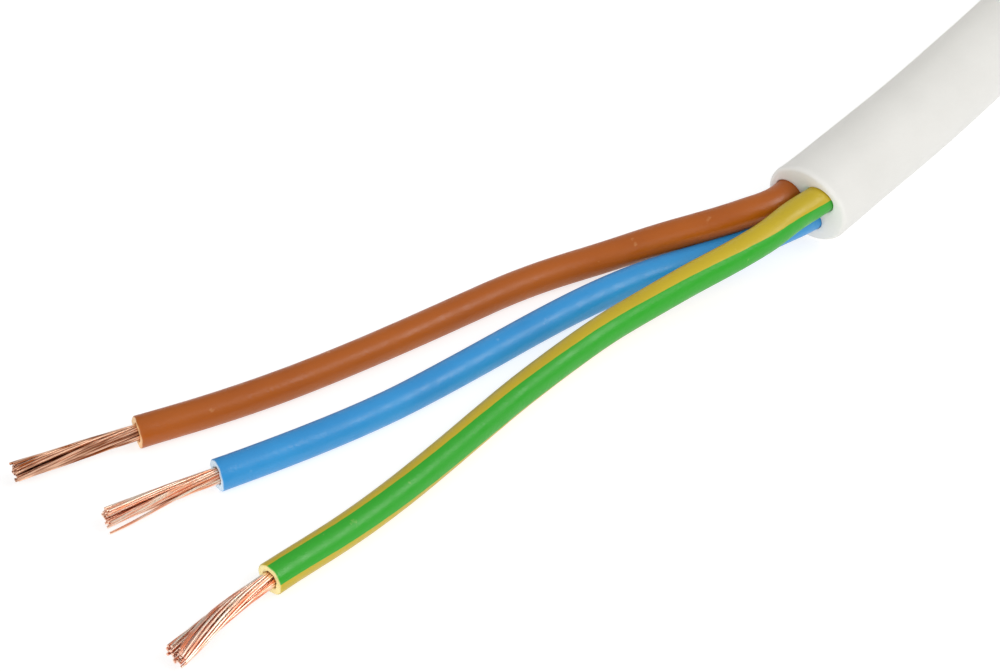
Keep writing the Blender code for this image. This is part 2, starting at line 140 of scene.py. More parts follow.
# From the mouth to the ring, in millimetres from the datum. The third number is the share of the rise to the bottom
# row.
SHEATH_ROUTE = (
    (37.9, -136.9, 0.0),
    (41.6, -132.6, 0.0),
    (46.0, -127.4, 0.0),
    (50.4, -121.9, 0.0),
    (55.5, -115.4, 0.0),
    (61.3, -107.5, 0.0),
    (66.1, -100.4, 0.02),
    (72.4, -89.6, 0.1),
    (77.1, -77.9, 0.3),
    (80.1, -65.7, 0.58),
    (82.9, -44.2, 0.9),
)
# The ring, in millimetres: its turns lie a pitch apart, and each row lies in the grooves of the row below
COIL_R = 52.3
PITCH = 8.9
TURNS_PER_ROW = (5, 4, 5, 4, 5, 4, 3)
ROW_RISE = PITCH * math.sin(math.radians(60.0))
TIE_THICKNESS = 1.2
TIE_GAP = 0.3
BOTTOM_ROW = TIE_THICKNESS + TIE_GAP + SHEATH_R / MM
# Where the turns cross: from this angle and over this many degrees. The waits are shares of a crossing.
CROSSES_FROM = 275.0
CROSSES_OVER = 103.0
OVER_WAITS = 0.31
UP_WAITS = 0.34
SWING_WAITS = 0.2
SWING = 0.75
ROW_LIFT = 1.1
KNOT_EVERY = 7.5
CABLE_POINTS = 24000
# How far ahead and behind the way along a curve is taken
WAY_REACH = 0.4 * MM


def lay_smooth(knots, steps):
    """Points on the natural cubic curve through the knots, with the chords between them as its parameter."""
    knots = np.asarray(knots, float)
    chord = np.linalg.norm(np.diff(knots, axis=0), axis=1)
    along = np.concatenate([[0.0], np.cumsum(chord)])
    slope = np.diff(knots, axis=0) / chord[:, None]
    inner = np.arange(1, len(knots) - 1)
    matrix = np.eye(len(knots))
    matrix[inner, inner - 1] = chord[:-1]
    matrix[inner, inner] = 2.0 * (chord[:-1] + chord[1:])
    matrix[inner, inner + 1] = chord[1:]
    pull = np.zeros_like(knots)
    pull[inner] = 6.0 * np.diff(slope, axis=0)
    bend = np.linalg.solve(matrix, pull)
    place = np.linspace(0.0, along[-1], steps)
    k = np.clip(np.searchsorted(along, place, side="right") - 1, 0, len(knots) - 2)
    before, after, width = (place - along[k])[:, None], (along[k + 1] - place)[:, None], chord[k][:, None]
    curved = (bend[k] * after**3 + bend[k + 1] * before**3) / (6.0 * width)
    from_left = (knots[k] / width - bend[k] * width / 6.0) * after
    from_right = (knots[k + 1] / width - bend[k + 1] * width / 6.0) * before
    return curved + from_left + from_right


def lengths_along(curve):
    """Length of the curve from its start to each of its points."""
    return np.concatenate([[0.0], np.cumsum(np.linalg.norm(np.diff(curve, axis=0), axis=1))])


def stations(curve, marks):
    """The curve's points at these lengths along it, with the way along it, its level side and its upper side there.

    The way is the line from the point just behind to the point just ahead. Past either end the curve goes on straight.
    """
    along = lengths_along(curve)
    inside = np.clip(marks, 0.0, along[-1])
    centre, ahead, behind = (
        np.stack([np.interp(inside + shift, along, curve[:, axis]) for axis in range(3)], axis=1)
        for shift in (0.0, WAY_REACH, -WAY_REACH)
    )
    way = (ahead - behind) / np.linalg.norm(ahead - behind, axis=1)[:, None]
    centre = centre + (marks - inside)[:, None] * way
    side = np.cross(way, [0.0, 0.0, 1.0])
    side /= np.linalg.norm(side, axis=1)[:, None]
    return centre, way, side, np.cross(side, way)


def round_angles(many):
    """The angles of this many points, spread evenly round a circle."""
    return np.arange(many) * 2 * math.pi / many


def hoops(place, radius, angle, slip=0.0):
    """Rings of points round a line: centre + radius (cos angle side + sin angle up) + slip along the way."""
    centre, way, side, upper = (x[:, None, :] for x in place)
    across = np.cos(angle)[..., None] * side + np.sin(angle)[..., None] * upper
    return centre + radius[..., None] * across + np.broadcast_to(slip, radius.shape)[..., None] * way


def faces_between(ring, next_ring, around):
    """Four-cornered faces from each ring to the one after it. A ring is given by the number of its first point."""
    j = np.arange(around)
    k = (j + 1) % around
    return np.stack([ring + j, next_ring + j, next_ring + k, ring + k], -1).reshape(-1, 4)


def write_uv(mesh, pairs):
    """The mesh's UV map: the way round and the way along at each corner of each face."""
    mesh.uv_layers.new(name="round_and_along").data.foreach_set("uv", pairs.astype(np.float32).reshape(-1))


def skin(name, bands, finish, reads=None):
    """A closed surface over bands of rings, the ends closed flat. Each band is an array of (rings, points round, xyz).

    A band has as many points round as the one before it or half as many, and then the faces between have five corners.
    The UV map has the share of the way round as u, and as v what reads holds for each ring.
    """
    faces, corners_u, corners_row = [], [], []
    first, row = 0, 0
    points_in = [band.shape[1] for band in bands for _ in band]
    starts = np.concatenate([[0], np.cumsum(points_in)])
    for band in bands:
        many, around = band.shape[:2]
        j = np.arange(around)
        here = first + np.arange(many - 1)[:, None] * around
        faces += faces_between(here, here + around, around).tolist()
        u = np.stack([j, j, j + 1, j + 1], -1) / around
        corners_u.append(np.broadcast_to(u, (many - 1, around, 4)).reshape(-1))
        rows = row + np.arange(many - 1)[:, None, None] + np.array([0, 1, 1, 0])
        corners_row.append(np.broadcast_to(rows, (many - 1, around, 4)).reshape(-1))
        first += many * around
        row += many
        if row < len(points_in):
            last, after = starts[row - 1], points_in[row]
            j = np.arange(after)
            if after == around:
                step = faces_between(last, first, after)
                u = [j, j, j + 1, j + 1]
                ring_of = [0, 1, 1, 0]
            else:
                left, middle, right = (last + (2 * j + k) % around for k in range(3))
                step = np.stack([left, first + j, first + (j + 1) % after, right, middle], -1)
                u = [j, j, j + 1, j + 1, j + 0.5]
                ring_of = [0, 1, 1, 0, 0]
            faces += step.tolist()
            corners_u.append((np.stack(u, -1) / after).reshape(-1))
            corners_row.append(np.broadcast_to(row - 1 + np.array(ring_of), (after, len(ring_of))).reshape(-1))
    ends = [np.arange(points_in[0]), starts[-2] + np.arange(points_in[-1])[::-1]]
    for end, at in zip(ends, (0, len(points_in) - 1)):
        faces.append(end.tolist())
        corners_u.append(np.arange(len(end)) / len(end))
        corners_row.append(np.full(len(end), at))
    mesh = bpy.data.meshes.new(name)
    mesh.from_pydata(np.concatenate([band.reshape(-1, 3) for band in bands]).tolist(), [], faces)
    if reads is not None:
        write_uv(mesh, np.stack([np.concatenate(corners_u), reads[np.concatenate(corners_row)]], -1))
    mesh.shade_smooth()
    mesh.materials.append(finish)
    return put_in_scene(name, mesh)


def eased(share):
    """Half of 1 - cosine of a share that runs from 0 to 1."""
    return (1.0 - np.cos(math.pi * np.clip(share, 0.0, 1.0))) / 2.0


def swell_of(share):
    """Sine squared of a share that runs from 0 to 1: up from nothing and back."""
    return np.sin(math.pi * np.clip(share, 0.0, 1.0)) ** 2


def wound_turns():
    """Knots of the wound ring, in millimetres from its middle.

    From 18 to 275 degrees a turn keeps its radius and height. Between the front and the right tie it steps over by one
    pitch to its next place, or climbs into the next row. A climb goes up first where that row starts nearer to the
    middle of the section, and over first where it starts farther out, and it swings 0.75 mm wide of its neighbours.
    Rows cross there, so each is lifted by 1.1 mm more than the one below.
    """
    radii, rows = [], []
    for row, turns in enumerate(TURNS_PER_ROW):
        places = COIL_R + (np.arange(turns) - (turns - 1) / 2) * PITCH
        radii += list(places if row % 2 else places[::-1])
        rows += [row] * turns
    radii, rows = np.array(radii + [radii[-1] - PITCH]), np.array(rows + rows[-1:], float)
    degrees = KNOT_EVERY * np.arange(360.0 / KNOT_EVERY * (len(radii) - 1) + 2)
    past = np.floor((degrees - CROSSES_FROM) / 360.0).astype(int)
    phase = np.clip((degrees - CROSSES_FROM - 360.0 * past) / CROSSES_OVER, 0.0, 1.0)
    leaves, enters = np.maximum(past, 0), past + 1
    step = radii[enters] - radii[leaves]
    outward = np.sign(radii[leaves] - COIL_R)
    climbs = rows[enters] > rows[leaves]
    up_first = climbs & (step * outward < 0)
    over = eased((phase - OVER_WAITS * up_first) / np.where(climbs, 1.0 - OVER_WAITS, 1.0))
    up = eased((phase - np.where(up_first, 0.0, UP_WAITS)) / (1.0 - UP_WAITS))
    swung = swell_of((phase - np.where(up_first, 0.0, SWING_WAITS)) / (1.0 - SWING_WAITS))
    radius = radii[leaves] + step * over + SWING * climbs * outward * swung
    row = rows[leaves] + climbs * up
    height = BOTTOM_ROW + row * (ROW_RISE + ROW_LIFT * swell_of(phase))
    angle = np.radians(degrees)
    return np.stack([radius * np.cos(angle), radius * np.sin(angle), height], axis=-1)


into_sheath = np.array([math.cos(MOUTH_HEADING), math.sin(MOUTH_HEADING), 0.0])
mouth_side = np.array([math.sin(MOUTH_HEADING), -math.cos(MOUTH_HEADING), 0.0])
mouth = DATUM + np.array([MOUTH[0] * MM, MOUTH[1] * MM, SHEATH_R])
free_route = np.array(SHEATH_ROUTE)
free_route[:, 2] = SHEATH_R / MM + (BOTTOM_ROW - SHEATH_R / MM) * free_route[:, 2]
mouth_knots = [mouth, mouth + into_sheath * CORE_SEAT / 2]
cable_knots = np.concatenate([mouth_knots, DATUM + free_route * MM, RING_CENTRE + wound_turns() * MM])
cable_curve = lay_smooth(cable_knots, CABLE_POINTS)
cable_curve[:, 2] = np.maximum(cable_curve[:, 2], SHEATH_R)

# A cut end of the sheath: the space round the cores, the bevel at its edge, and the rounded rim of the swollen mouth
BORE_CLEARANCE = 0.04 * MM
BORE_BETWEEN = 1.32 * MM
BORE_BEVEL = 0.07 * MM
LIP = 0.42 * MM
SWELLING = 0.02
SWELLS_OVER = 3.0 * MM
# The mouth's slant, in millimetres: how far back it stands, and how far its rim leans to the side and up. Over this
# length the sheath's rings come straight.
MOUTH_STANDS_BACK = 0.55
LEANS = (0.33, -0.55)
LEANS_OVER = 6.0 * MM
# Waves of the mouth: how often each comes round, its depth in millimetres, and where it starts
MOUTH_WAVES = ((3, 0.04, 1.0), (5, 0.03, 0.0))
# Points round the sheath near the mouth. It has half as many past 60 mm, and a quarter past 122 mm.
FINE = 96


def clover(angle):
    """Outline of the space for the cores, as a radius for each angle: the farthest of three circles, each round a core,
    and an even radius between them."""
    reach = np.full_like(angle, BORE_BETWEEN)
    for level, rise in CORE_PLACES.values():
        away = math.hypot(level, rise) * MM
        off = angle - math.atan2(rise, level)
        inside = (CORE_R + BORE_CLEARANCE) ** 2 - (away * np.sin(off)) ** 2
        circle = away * np.cos(off) + np.sqrt(np.maximum(inside, 0.0))
        reach = np.where((inside > 0) & (np.cos(off) > 0), np.maximum(reach, circle), reach)
    return reach


def sheath_end(angle, deep):
    """Rows of a cut end, from deep inside the bore over the face to the side: the length of each from the cut, and its
    radius for each angle. The rim is a quarter circle."""
    bore = clover(angle)
    rim = SHEATH_R * (1 + SWELLING)
    edge = bore + BORE_BEVEL
    rows = [(back, bore) for back in (deep, 0.5 * deep, 0.6 * MM, 0.15 * MM, 0.04 * MM)]
    rows += [(0.0, edge + (rim - LIP - edge) * share) for share in (0.0, 0.35, 0.7)]
    for turn in np.linspace(0.0, math.pi / 2, 8):
        rows.append((LIP * (1 - math.cos(turn)), rim - LIP + LIP * math.sin(turn) + 0 * angle))
    return np.array([back for back, _ in rows]), np.array([radius for _, radius in rows])


def plain_band(marks, around):
    """The sheath between its ends: rings of its own radius at these lengths."""
    return hoops(stations(cable_curve, marks), np.full((len(marks), around), SHEATH_R), round_angles(around))


fine_angle = round_angles(FINE)
end_back, end_radius = sheath_end(fine_angle, CORE_SEAT + 0.3 * MM)
leaning = LEANS[0] * np.cos(fine_angle) + LEANS[1] * np.sin(fine_angle)
slant = -MOUTH_STANDS_BACK * MM + leaning * MM * end_radius / SHEATH_R
ragged = sum(depth * MM * np.sin(times * fine_angle + starts) for times, depth, starts in MOUTH_WAVES)
side_marks = np.arange(0.8, 60.0, 0.8) * MM
near_marks = np.concatenate([end_back, side_marks])
side_radius = SHEATH_R * (1 + SWELLING * np.exp(-side_marks / SWELLS_OVER))
near_radius = np.concatenate([end_radius, np.repeat(side_radius[:, None], FINE, axis=1)])
keeps_slant = np.clip(1 - near_marks / LEANS_OVER, 0.0, 1.0)[:, None]
near_slip = keeps_slant * (np.concatenate([slant, np.repeat(slant[-1:], len(side_marks), axis=0)]) + ragged)
near_band = hoops(stations(cable_curve, near_marks), near_radius, fine_angle, near_slip)
near_band[..., 2] = np.maximum(near_band[..., 2], 0.0)
middle_band = plain_band(np.arange(61.0, 121.0, 2.0) * MM, FINE // 2)
far_band = plain_band(np.arange(123.0 * MM, CABLE_LENGTH - 3.0 * MM, 5.0 * MM), FINE // 4)
cut_angle = round_angles(FINE // 4)
cut_back, cut_radius = sheath_end(cut_angle, 2.5 * MM)
cut_band = hoops(stations(cable_curve, CABLE_LENGTH - cut_back[::-1]), cut_radius[::-1], cut_angle)

# How often in a metre each pattern in the plastic comes back, and how finely it is broken up
CLOUDS = (160.0, 2.0)
RUBS = (640.0, 3.0)
GLOSS = (700.0, 3.0)
PEEL = (2600.0, 2.0)


def fill_socket(tree, socket, value):
    """Links a socket to an output, or sets it to a number or a colour."""
    if isinstance(value, bpy.types.NodeSocket):
        tree.links.new(value, socket)
    else:
        socket.default_value = (*value, 1.0) if isinstance(value, tuple) else value


def noise(tree, where, scale, detail):
    """Noise over the place that it is given."""
    texture = tree.nodes.new("ShaderNodeTexNoise")
    texture.inputs["Scale"].default_value = scale
    texture.inputs["Detail"].default_value = detail
    tree.links.new(where, texture.inputs["Vector"])
    return texture.outputs["Fac"]


def ranged(tree, value, low, high, to_low, to_high):
    """A value that runs from low to high, made to run from to_low to to_high, and held there outside them."""
    spread = tree.nodes.new("ShaderNodeMapRange")
    for socket, number in (("From Min", low), ("From Max", high), ("To Min", to_low), ("To Max", to_high)):
        spread.inputs[socket].default_value = number
    tree.links.new(value, spread.inputs["Value"])
    return spread.outputs["Result"]


def blend(tree, share, first, second):
    """The first colour where the share is nothing, the second where it is one, and between them a mix of both."""
    mix = tree.nodes.new("ShaderNodeMix")
    mix.data_type = "RGBA"
    tree.links.new(share, mix.inputs["Factor"])
    fill_socket(tree, mix.inputs["A"], first)
    fill_socket(tree, mix.inputs["B"], second)
    return mix.outputs["Result"]


def marked(tree, name):
    """What the piece's attribute of this name says."""
    attribute = tree.nodes.new("ShaderNodeAttribute")
    attribute.attribute_name = name
    return attribute.outputs["Fac"]


def pvc(name, tone, shade, dust, shine, roughness, painted=None):
    """Soft PVC: a tone clouded towards its shade over about 6 mm, with faint dusty rubs, a matt-gloss unevenness, and a
    fine orange-peel surface. Where the piece's cut attribute is one, the tone is the pale torn colour of a cut. The
    stripes of a striped core are what painted makes of the clouded tone."""
    plastic, tree, surface = new_material(name)
    surface.inputs["Specular IOR Level"].default_value = shine
    where = tree.nodes.new("ShaderNodeTexCoord").outputs["Object"]

    def cloud(pattern, low, high):
        return ranged(tree, noise(tree, where, *pattern), 0.35, 0.65, low, high)

    colour = blend(tree, cloud(CLOUDS, 0.0, 1.0), tone, shade)
    if painted is not None:
        colour = painted(tree, where, colour)
    colour = blend(tree, ranged(tree, noise(tree, where, *RUBS), 0.70, 0.78, 0.0, 0.2), colour, dust)
    colour = blend(tree, marked(tree, "cut"), colour, dust)
    tree.links.new(colour, surface.inputs["Base Color"])
    tree.links.new(cloud(GLOSS, roughness - 0.06, roughness + 0.08), surface.inputs["Roughness"])
    peel = tree.nodes.new("ShaderNodeBump")
    peel.inputs["Strength"].default_value = 0.12
    peel.inputs["Distance"].default_value = 0.00008
    tree.links.new(cloud(PEEL, 0.0, 1.0), peel.inputs["Height"])
    tree.links.new(peel.outputs["Normal"], surface.inputs["Normal"])
    return plastic


white_pvc = pvc("white_pvc", (0.80, 0.79, 0.76), (0.775, 0.765, 0.735), (0.86, 0.85, 0.83), 0.2, 0.42)
sheath = skin("sheath", [near_band, middle_band, far_band, cut_band], white_pvc)
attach(sheath, "root")
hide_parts("sheath_free_end", "cable_coil")

# The cores: stranded copper in 3 mm PVC. They lie side by side in the sheath and fan out of its mouth on to the table.
# The stripper has cut the insulation square and left a pale, slightly ragged ring round the copper.
BARE = {"brown": 11.7 * MM, "blue": 10.8 * MM, "earth": 11.5 * MM}
# From the mouth to the tips, in millimetres from the datum. The third number is the share of the mouth's height that is
# left.
ROUTES = {
    "brown": (
        (30.2, -142.4, 0.99),
        (28.1, -143.4, 0.95),
        (26.1, -144.1, 0.87),
        (22.2, -145.0, 0.65),
        (18.4, -145.8, 0.41),
        (14.3, -146.9, 0.16),
        (9.9, -148.5, 0.04),
        (5.5, -150.7, 0.0),
        (1.2, -153.5, 0.0),
        (-7.2, -159.1, 0.0),
        (-15.4, -164.1, 0.0),
        (-23.5, -168.2, 0.0),
        (-28.5, -170.4, 0.0),
        (-33.8, -172.9, 0.0),
        (-39.2, -175.7, 0.0),
    ),
    "blue": (
        (31.0, -143.7, 0.9),
        (28.5, -145.1, 0.68),
        (26.1, -146.1, 0.47),
        (22.2, -147.5, 0.2),
        (18.3, -149.1, 0.05),
        (14.4, -151.3, 0.0),
        (9.6, -154.7, 0.0),
        (2.3, -160.6, 0.0),
        (-1.8, -163.9, 0.0),
        (-5.9, -167.0, 0.0),
        (-10.0, -169.7, 0.0),
        (-14.2, -172.2, 0.0),
        (-21.0, -175.9, 0.0),
        (-25.7, -178.4, 0.0),
        (-30.6, -181.2, 0.0),
    ),
    "earth": (
        (31.7, -145.5, 0.97),
        (29.6, -147.5, 0.89),
        (27.7, -148.8, 0.79),
        (25.7, -150.0, 0.69),
        (21.9, -152.2, 0.52),
        (18.1, -154.5, 0.33),
        (14.2, -157.1, 0.16),
        (10.4, -160.4, 0.045),
        (6.8, -164.1, 0.0),
        (3.3, -168.2, 0.0),
        (-3.4, -176.3, 0.0),
        (-10.1, -183.4, 0.0),
        (-15.9, -188.7, 0.0),
        (-19.6, -192.7, 0.0),
        (-23.2, -197.3, 0.0),
    ),
}
STRAND_SEAT = 4.0 * MM
COPPER_BORE = 0.86 * MM
# The cut of the insulation: it is wider there, its edge is rounded, and its face has waves, each with how often it
# comes round and its depth in millimetres
CUT_SWELLING = 0.015
CUT_SWELLS_OVER = 1.5 * MM
CUT_ROUNDING = 0.14 * MM
FACE_WAVES = ((1, 0.05), (3, 0.035), (8, 0.02))
FACE_FADES = 0.5 * MM
# The tube wavers by this share of its radius, and its rings lie this far apart
WAVERS = 0.004
RING_STEP = 0.9
AROUND_CORE = 64
CORE_POINTS = 6000
V_LENGTH = 100 * MM


def core_line(name):
    """The axis of a core and its copper: straight out of the sheath, down on to the table, and along it."""
    level, rise = CORE_PLACES[name]
    leaves = mouth + (level * mouth_side + rise * np.array([0.0, 0.0, 1.0])) * MM
    seated = [leaves + into_sheath * seat for seat in np.linspace(CORE_SEAT, 0.0, 4)]
    route = np.array(ROUTES[name])
    route[:, 2] = (CORE_R + (leaves[2] - CORE_R) * route[:, 2]) / MM
    curve = lay_smooth(np.concatenate([seated, DATUM + route * MM]), CORE_POINTS)
    curve[:, 2] = np.maximum(curve[:, 2], CORE_R)
    return curve


def write_marks(mesh, name, values):
    """An attribute of this name on the mesh, with a value for each point."""
    mesh.attributes.new(name, "FLOAT", "POINT").data.foreach_set("value", values.astype(np.float32))


def insulate(name, curve, end, turned, finish, seed):
    """A core's insulation from its seat to the cut: a tube, a small rounding, a ragged ring face and the copper's bore.

    The tube widens towards the cut by an exponential and wavers by 0.4%. The face stands up to 0.1 mm in and out, by
    three sines of the angle, and less with each half millimetre from the cut. Where turned is given, the seam that the
    UV map starts from turns round the core by it.
    """
    angle = round_angles(AROUND_CORE)
    lift = np.random.default_rng(seed).uniform(0.0, 2 * math.pi, 4)
    ragged = sum(depth * np.sin(times * angle + lift[k]) for k, (times, depth) in enumerate(FACE_WAVES))
    body = np.arange(0.0, (end - 0.8 * MM) / MM, RING_STEP) * MM
    wavers = WAVERS * np.sin(body / (3.1 * MM) + lift[3])
    widest = CORE_R * (1 + CUT_SWELLING)
    turn = np.linspace(0.0, math.pi / 2, 5)
    share = np.array([0.35, 0.7, 0.93])
    deep = np.array([0.05 * MM, 0.3 * MM, STRAND_SEAT + 0.3 * MM])
    marks = np.concatenate([body, end - CUT_ROUNDING * (1 - np.sin(turn)), end - 0.02 * MM * share, end - deep])
    radius = np.concatenate(
        [
            CORE_R * (1 + CUT_SWELLING * np.exp(-(end - body) / CUT_SWELLS_OVER) + wavers),
            widest - CUT_ROUNDING * (1 - np.cos(turn)),
            widest - CUT_ROUNDING + (COPPER_BORE - widest + CUT_ROUNDING) * share,
            np.full(len(deep), COPPER_BORE),
        ]
    )
    near_cut = np.exp(-np.abs(end - marks) / FACE_FADES)[:, None]
    in_bore = (radius < CORE_R * 0.62)[:, None]
    rings = radius[:, None] + in_bore * near_cut * 0.05 * MM * np.sin(5 * angle + lift[1])
    turns = np.interp(marks, *turned) if turned is not None else np.zeros(len(marks))
    band = hoops(stations(curve, marks), rings, angle + turns[:, None], near_cut * ragged * MM)
    band[..., 2] = np.maximum(band[..., 2], 0.0)
    made = skin(name, [band], finish, marks / V_LENGTH)
    pale = np.concatenate([np.zeros(len(body) + 2), [0.25, 0.6, 0.9], np.ones(3), [0.9, 0.6, 0.3]])
    write_marks(made.data, "cut", np.repeat(pale, AROUND_CORE))
    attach(made, "root")
    return made


brown_pvc = pvc("brown_pvc", (0.422, 0.096, 0.0008), (0.388, 0.085, 0.0008), (0.95, 0.60, 0.28), 0.46, 0.38)
blue_pvc = pvc("blue_pvc", (0.025, 0.295, 0.675), (0.021, 0.27, 0.635), (0.62, 0.80, 0.95), 0.56, 0.38)

# The earth core's green is a stripe along yellow plastic, with another behind it. Round the core, its middle is at
# these degrees at these millimetres from the core's seat. Its width in degrees falls between the two places given, and
# the stripe behind is half as wide.
GREEN_MIDDLE = (
    (0.0, 208.0),
    (6.0, 202.0),
    (10.2, 194.0),
    (13.1, 184.5),
    (21.1, 170.5),
    (31.4, 160.5),
    (42.3, 150.0),
    (53.6, 140.5),
    (64.2, 130.5),
    (75.4, 122.0),
)
GREEN_WIDTH = ((50.0, 96.0), (75.0, 84.0))
BEHIND = 0.5
EDGE_WANDERS = 0.008
EDGE_SHARPNESS = 160.0
YELLOW = (0.57, 0.415, 0.005)
YELLOW_SHADE = tuple(0.93 * share for share in YELLOW)
GREEN = (0.016, 0.368, 0.008)


def sum_of(tree, kind, first, second):
    """One sum on two values, each a number or an output."""
    node = tree.nodes.new("ShaderNodeMath")
    node.operation = kind
    fill_socket(tree, node.inputs[0], first)
    fill_socket(tree, node.inputs[1], second)
    return node.outputs["Value"]


def read_uv(tree):
    """The way round and the way along, from the piece's UV map."""
    uv = tree.nodes.new("ShaderNodeUVMap")
    uv.uv_map = "round_and_along"
    return uv.outputs["UV"]


def green_stripes(tree, where, yellow):
    """The yellow with its two green stripes. Green is where the way round from the stripe's middle is under half its
    width, or over a half turn less the half width of the one behind. Noise makes the edges wander a little."""
    split = tree.nodes.new("ShaderNodeSeparateXYZ")
    tree.links.new(read_uv(tree), split.inputs["Vector"])
    from_middle = sum_of(tree, "ABSOLUTE", sum_of(tree, "SUBTRACT", split.outputs["X"], 0.5), 0.0)
    either_way = sum_of(tree, "SUBTRACT", noise(tree, where, 900.0, 2.0), 0.5)
    from_middle = sum_of(tree, "ADD", from_middle, sum_of(tree, "MULTIPLY", either_way, EDGE_WANDERS))
    (starts, wide), (stops, narrow) = GREEN_WIDTH
    starts, stops = starts * MM / V_LENGTH, stops * MM / V_LENGTH
    half = ranged(tree, split.outputs["Y"], starts, stops, wide / 2 / 360.0, narrow / 2 / 360.0)
    inside = sum_of(tree, "MULTIPLY", sum_of(tree, "SUBTRACT", half, from_middle), EDGE_SHARPNESS)
    edge_behind = sum_of(tree, "SUBTRACT", 0.5, sum_of(tree, "MULTIPLY", half, BEHIND))
    behind = sum_of(tree, "MULTIPLY", sum_of(tree, "SUBTRACT", from_middle, edge_behind), EDGE_SHARPNESS)
    share = tree.nodes.new("ShaderNodeClamp")
    tree.links.new(sum_of(tree, "ADD", sum_of(tree, "MAXIMUM", inside, behind), 0.5), share.inputs["Value"])
    return blend(tree, share.outputs["Result"], yellow, GREEN)


earth_pvc = pvc("green_yellow_pvc", YELLOW, YELLOW_SHADE, (0.97, 0.84, 0.38), 0.6, 0.40, green_stripes)
green_knots = lay_smooth(np.array(GREEN_MIDDLE), 400)
green_turns = (green_knots[:, 0] * MM, np.radians(green_knots[:, 1] - 180.0))
CORE_FINISH = {
    "brown": (brown_pvc, "brown_pvc", None),
    "blue": (blue_pvc, "blue_pvc", None),
    "earth": (earth_pvc, "green_yellow_pvc", green_turns),
}

core_curves, core_ends, insulations = {}, {}, {}
for seed, (name, (finish, slot, turned)) in enumerate(CORE_FINISH.items()):
    curve = core_line(name)
    end = lengths_along(curve)[-1] - BARE[name]
    insulation = insulate("insulation_of_" + name, curve, end, turned, finish, seed)
    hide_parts("insulation_" + name)
    core_curves[name], core_ends[name], insulations[name] = curve, end, insulation

# The copper: thirty soft drawn strands of 0.25 mm in each core, twisted one way. Out of the insulation they spring a
# little apart, and their tips are uneven.
STRAND_R = 0.125 * MM
STRAND_RINGS = ((4, 0.17), (10, 0.40), (16, 0.64))
STRAND_SIDES = 8
LAY_LENGTH = 42.0 * MM
# How much shorter than the longest the strands are cut, in millimetres: the mean, the spread, and the two limits
CUT_SHORT = (0.12, 0.15, -0.15, 0.6)
# Past the cut: the clumps that the strands draw together in, how much of the way they go, and how much the clumps and
# then the single strands differ in their flare and in the way they lean
CLUMPS = 5
CLUMPS_DIFFER = 0.25
DRAWN_IN = 0.26
FLARE_DIFFERS = (0.10, 0.05)
LEAN_DIFFERS = (0.16, 0.10)
PLACE_DIFFERS = 0.05
FLARE_POWER = 1.5
# How far each strand's tone is moved towards its shade: partly a random tone, partly painted shade between strands
TONE_AND_PAINTED_SHADE_DIFFER = (-0.4, 0.3)


def bright_copper(name, tone, shade, roughness):
    """Drawn copper: its tone differs at random from strand to strand, and tone and gloss cloud round each strand and
    along it. The wide spread from the pale tone to the dark shade is painted highlight streaks and painted shade
    between the strands.
    """
    metal, tree, surface = new_material(name)
    surface.inputs["Metallic"].default_value = 1.0
    place = tree.nodes.new("ShaderNodeMapping")
    place.inputs["Scale"].default_value = (3.0, 5.0, 1.0)
    tree.links.new(read_uv(tree), place.inputs["Vector"])
    cloud = noise(tree, place.outputs["Vector"], 1.0, 1.0)
    # The share towards the shade: the cloud and each strand's own shift, which paint highlight streaks and shade
    share = sum_of(tree, "ADD", ranged(tree, cloud, 0.40, 0.60, 0.0, 1.0), marked(tree, "strand_tone_and_painted_shade"))
    tree.links.new(blend(tree, share, tone, shade), surface.inputs["Base Color"])
    tree.links.new(ranged(tree, cloud, 0.0, 1.0, roughness, roughness + 0.10), surface.inputs["Roughness"])
    return metal


